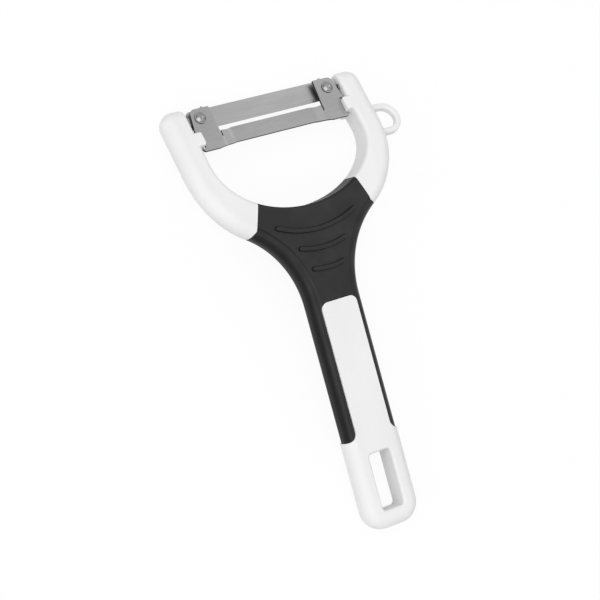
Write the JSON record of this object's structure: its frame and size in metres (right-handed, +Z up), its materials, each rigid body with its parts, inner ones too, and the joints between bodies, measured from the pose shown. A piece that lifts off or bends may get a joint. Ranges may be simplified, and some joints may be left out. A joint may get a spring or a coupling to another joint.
{
  "type": "vegetable peeler",
  "caption": "Y-shaped vegetable peeler with a swinging slotted blade unit, a hard fork handle with a soft grip, an eye remover loop and a hanging slot.",
  "frame": {"origin": "centre of the bounding box in X and Y, at the lowest point, with the peeler lying on its back", "axes": "+X across the peeler towards the eye remover loop, +Y along the handle towards the blade, +Z up, out of the front of the grip"},
  "size_m": [0.0944, 0.168, 0.0198],
  "materials": {
    "hard_plastic": "white hard plastic with a soft gloss",
    "soft_plastic": "black soft overmould, matte",
    "pressed_steel": "pressed stainless sheet, lightly brushed",
    "blade_steel": "stainless sheet with a ground edge",
    "rivet_steel": "bright stainless"
  },
  "bodies": {
    "handle": {"frame": "hard_plastic", "soft_grip": "soft_plastic"},
    "blade_unit": {"blade_carrier": "pressed_steel", "peeling_blade": "blade_steel", "rivet_left": "rivet_steel", "rivet_right": "rivet_steel", "pivot_pin_left": "rivet_steel", "pivot_pin_right": "rivet_steel"}
  },
  "joints": [
    {"name": "blade_swing", "type": "hinge", "parent": "handle", "child": "blade_unit", "pos_m": [-0.0048, 0.07871, 0.00695], "axis": [-1, 0, 0], "range_deg": [-10.5, 10]}
  ]
}
